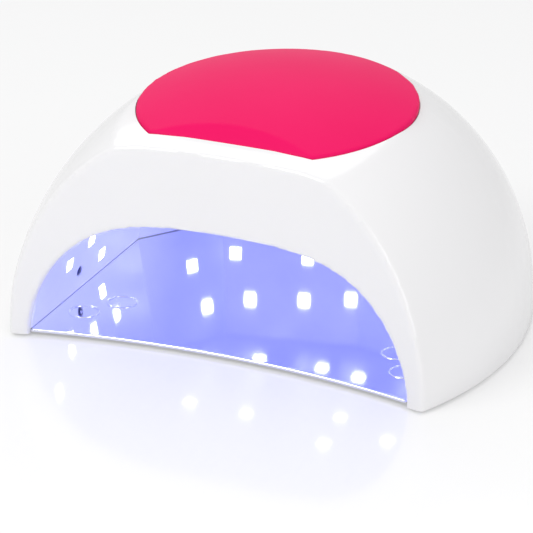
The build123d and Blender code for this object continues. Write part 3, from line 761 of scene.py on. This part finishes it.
class NAILLAMP_OT_panel(bpy.types.Operator):
    """Finishes the timer buttons, prints their numbers and lights the display"""

    bl_idname = "naillamp.panel"
    bl_label = "Control Panel"

    def execute(self, context):
        settings = context.scene.nail_panel
        caps = [f"button_{seconds}s" for seconds in BUTTON_PLACES]
        dress(caps, moulded("button_grey", (0.60, 0.61, 0.64), 0.28, 0.3))
        print_ink = moulded("printed_numbers", settings.numeral_colour, 0.45)
        for seconds, (x, y) in BUTTON_PLACES.items():
            numeral = self.numeral(f"numeral_{seconds}", f"{seconds}s", settings.numeral_height)
            numeral.matrix_world = panel_place(x, y, -BUTTON_PROUD)
            settle(numeral)
            numeral.data.materials.append(print_ink)
            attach(numeral, f"button_{seconds}s_cap")
        dress(["display_window"], clear_pane("smoked_pane", (0.05, 0.055, 0.065)))
        dress(["display_module"], moulded("display_black", (0.02, 0.02, 0.022), 0.4))
        segments = self.segments()
        segments.data.materials.append(lit_lamp("lit_segments", settings.segment_colour, 2.5))
        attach(segments, "housing")
        dress(["tact_switches"], moulded("switch_black", (0.03, 0.03, 0.032), 0.5))
        board = circuit("control_green", (0.02, 0.16, 0.06), (0.05, 0.24, 0.10))
        dress(["control_board"], board)
        return {"FINISHED"}

    def numeral(self, name, words, height):
        """A printed number as a thin mesh at the origin."""
        clear_selection()
        bpy.ops.object.text_add()
        text = started(name)
        text.data.body = words
        text.data.size = height
        text.data.align_x = "CENTER"
        text.data.align_y = "CENTER"
        text.data.extrude = 0.00004
        text.data.resolution_u = 4
        only(text)
        bpy.ops.object.convert(target="MESH")
        return bpy.context.active_object

    def segments(self):
        """Two numerals of seven bars each, both showing a number."""
        lit = {6: "acdefg", 0: "abcdef"}
        bars = {
            "a": (0.0, 0.0032, 0), "g": (0.0, 0.0, 0), "d": (0.0, -0.0032, 0),
            "b": (0.0017, 0.0016, 1), "c": (0.0017, -0.0016, 1),
            "f": (-0.0017, 0.0016, 1), "e": (-0.0017, -0.0016, 1),
        }
        pieces = []
        for digit, shift in ((6, -0.0062), (0, 0.0062)):
            for letter in lit[digit]:
                x, y, upright = bars[letter]
                size = (0.0007, 0.0026, 0.0001) if upright else (0.0026, 0.0007, 0.0001)
                place = panel_place(shift + x, WINDOW_ROW + y, SEGMENT_DEPTH)
                piece = block("segment", size, place)
                apply_step(piece, "BEVEL", width=0.0003, segments=2, affect="EDGES")
                pieces.append(piece)
        clear_selection()
        for piece in pieces:
            piece.select_set(True)
        bpy.context.view_layer.objects.active = pieces[0]
        bpy.ops.object.join()
        return started("display_segments")


class NAILLAMP_OT_electronics(bpy.types.Operator):
    """Finishes the boards, their components, the leads and every screw"""

    bl_idname = "naillamp.electronics"
    bl_label = "Electronics"

    def execute(self, context):
        dress(["main_board"], circuit("main_green", (0.02, 0.18, 0.07), (0.06, 0.27, 0.12)))
        dress(["inductors"], moulded("ferrite_grey", (0.07, 0.07, 0.075), 0.6, 0.0, 0.00003))
        dress(["capacitors"], metal("capacitor_sleeve", (0.30, 0.33, 0.42), 0.3))
        dress(["driver_chips"], moulded("chip_black", (0.025, 0.025, 0.028), 0.5))
        dress(["board_connectors"], moulded("plug_nylon", (0.78, 0.76, 0.68), 0.42))
        dress(["power_lead_positive"], moulded("red_insulation", (0.50, 0.02, 0.02), 0.4))
        dress(["power_lead_negative"], moulded("black_insulation", (0.03, 0.03, 0.03), 0.4))
        led_leads = ["led_lead_left", "led_lead_right"]
        dress(led_leads, moulded("white_insulation", (0.75, 0.75, 0.74), 0.4))
        dress(["control_ribbon"], moulded("ribbon_grey", (0.45, 0.46, 0.48), 0.42))
        screws = ["shell_screws", "liner_screws", "main_board_screws", "control_board_screws"]
        dress(screws, metal("zinc_screws", (0.58, 0.58, 0.60), 0.3))
        return {"FINISHED"}


class NAILLAMP_OT_inlet(bpy.types.Operator):
    """Finishes the power inlet, its pin and its nut"""

    bl_idname = "naillamp.inlet"
    bl_label = "Power Inlet"

    def execute(self, context):
        dress(["inlet_body"], moulded("inlet_black", (0.03, 0.03, 0.033), 0.35))
        dress(["inlet_pin"], metal("pin_plating", (0.80, 0.66, 0.40), 0.18))
        dress(["inlet_nut"], metal("nut_plating", (0.62, 0.62, 0.63), 0.25))
        return {"FINISHED"}


class NAILLAMP_OT_stage(bpy.types.Operator):
    """Sets the pale table top, the soft lights, the white surround and the camera"""

    bl_idname = "naillamp.stage"
    bl_label = "Stage"

    def execute(self, context):
        settings = context.scene.nail_stage
        self.floor(settings)
        self.surround(context.scene, settings.surround)
        self.soft_light("key", (-0.50, -0.78, 0.92), (0.50, 0.50), settings.key_power)
        self.soft_light("fill", (1.05, -0.60, 0.52), (0.50, 0.95), settings.key_power * 0.75)
        self.soft_light("top", (-0.45, 0.60, 1.00), (0.90, 0.90), settings.key_power * 0.35)
        self.camera(context.scene, settings)
        context.scene.view_settings.view_transform = "Standard"
        return {"FINISHED"}

    def floor(self, settings):
        clear_selection()
        bpy.ops.mesh.primitive_plane_add(size=12.0, location=(0, 0, 0))
        floor = started("table_top")
        finish = Finish("pale_table")
        haze = finish.noise(8.0, 2.0)
        tone = settings.floor_colour
        gloss = finish.add(
            "ShaderNodeBsdfPrincipled", None,
            {
                "Base Color": finish.mix(haze, tinted(tone, 0.995), tone),
                "Roughness": 0.12,
                "Coat Weight": 1.0,
                "Coat Roughness": 0.06,
                "Coat IOR": 1.7,
            },
        )
        bright = finish.add("ShaderNodeEmission", None, {"Color": WHITE, "Strength": 1.0})
        seen = finish.add("ShaderNodeLightPath")
        rays = Number(finish, seen.outputs["Is Camera Ray"]) * 0.35
        mixed = finish.add(
            "ShaderNodeMixShader", None, {0: rays, 1: gloss.outputs[0], 2: bright.outputs[0]}
        )
        finish.add("ShaderNodeOutputMaterial", None, {"Surface": mixed.outputs[0]})
        floor.data.materials.append(finish.material)

    def surround(self, scene, strength):
        """White to the camera, and a soft even light to everything else."""
        world = bpy.data.worlds.new("studio")
        scene.world = world
        world.use_nodes = True
        studio = Nodes(world.node_tree)
        seen = studio.add("ShaderNodeLightPath").outputs["Is Camera Ray"]
        glow = studio.add("ShaderNodeBackground", None, {"Color": WHITE, "Strength": strength})
        white = studio.add("ShaderNodeBackground", None, {"Color": WHITE, "Strength": 1.0})
        pick = studio.add(
            "ShaderNodeMixShader", None, {0: seen, 1: glow.outputs[0], 2: white.outputs[0]}
        )
        studio.add("ShaderNodeOutputWorld", None, {"Surface": pick.outputs[0]})

    def soft_light(self, name, place, sides, power):
        clear_selection()
        bpy.ops.object.light_add(type="AREA", location=place)
        light = bpy.context.active_object
        light.name = name
        light.data.shape = "RECTANGLE"
        light.data.size, light.data.size_y = sides
        light.data.energy = power
        aim = LIGHT_AIM - Vector(place)
        light.rotation_euler = aim.to_track_quat("-Z", "Y").to_euler()

    def camera(self, scene, settings):
        turn, rise = settings.view_turn, settings.view_rise
        level = math.cos(rise)
        back = Vector((math.sin(turn) * level, -math.cos(turn) * level, math.sin(rise)))
        bpy.ops.object.camera_add(location=VIEW_AIM + back * VIEW_DISTANCE)
        camera = bpy.context.active_object
        camera.rotation_euler = (-back).to_track_quat("-Z", "Y").to_euler()
        camera.data.sensor_width = 36.0
        camera.data.lens = 203.0
        camera.data.clip_end = 50.0
        scene.camera = camera


class NAILLAMP_PT_parts(bpy.types.Panel):
    """Lists the steps that make the lamp"""

    bl_label = "Nail Lamp"
    bl_idname = "NAILLAMP_PT_parts"
    bl_space_type = "VIEW_3D"
    bl_region_type = "UI"
    bl_category = "Nail Lamp"

    def draw(self, context):
        for step in STEPS:
            self.layout.operator(step.bl_idname)


SETTINGS = {
    "nail_housing": HousingSettings,
    "nail_cavity": CavitySettings,
    "nail_panel": PanelSettings,
    "nail_stage": StageSettings,
}
STEPS = (
    NAILLAMP_OT_stage,
    NAILLAMP_OT_shell,
    NAILLAMP_OT_pad,
    NAILLAMP_OT_base,
    NAILLAMP_OT_cavity,
    NAILLAMP_OT_panel,
    NAILLAMP_OT_electronics,
    NAILLAMP_OT_inlet,
)


def register():
    for group in SETTINGS.values():
        bpy.utils.register_class(group)
    for step in STEPS:
        bpy.utils.register_class(step)
    bpy.utils.register_class(NAILLAMP_PT_parts)
    for name, group in SETTINGS.items():
        setattr(bpy.types.Scene, name, bpy.props.PointerProperty(type=group))


def unregister():
    for name in SETTINGS:
        delattr(bpy.types.Scene, name)
    bpy.utils.unregister_class(NAILLAMP_PT_parts)
    for step in reversed(STEPS):
        bpy.utils.unregister_class(step)
    for group in SETTINGS.values():
        bpy.utils.unregister_class(group)


def main():
    register()
    for step in STEPS:
        group, name = step.bl_idname.split(".")
        getattr(getattr(bpy.ops, group), name)()


if __name__ == "__main__":
    main()
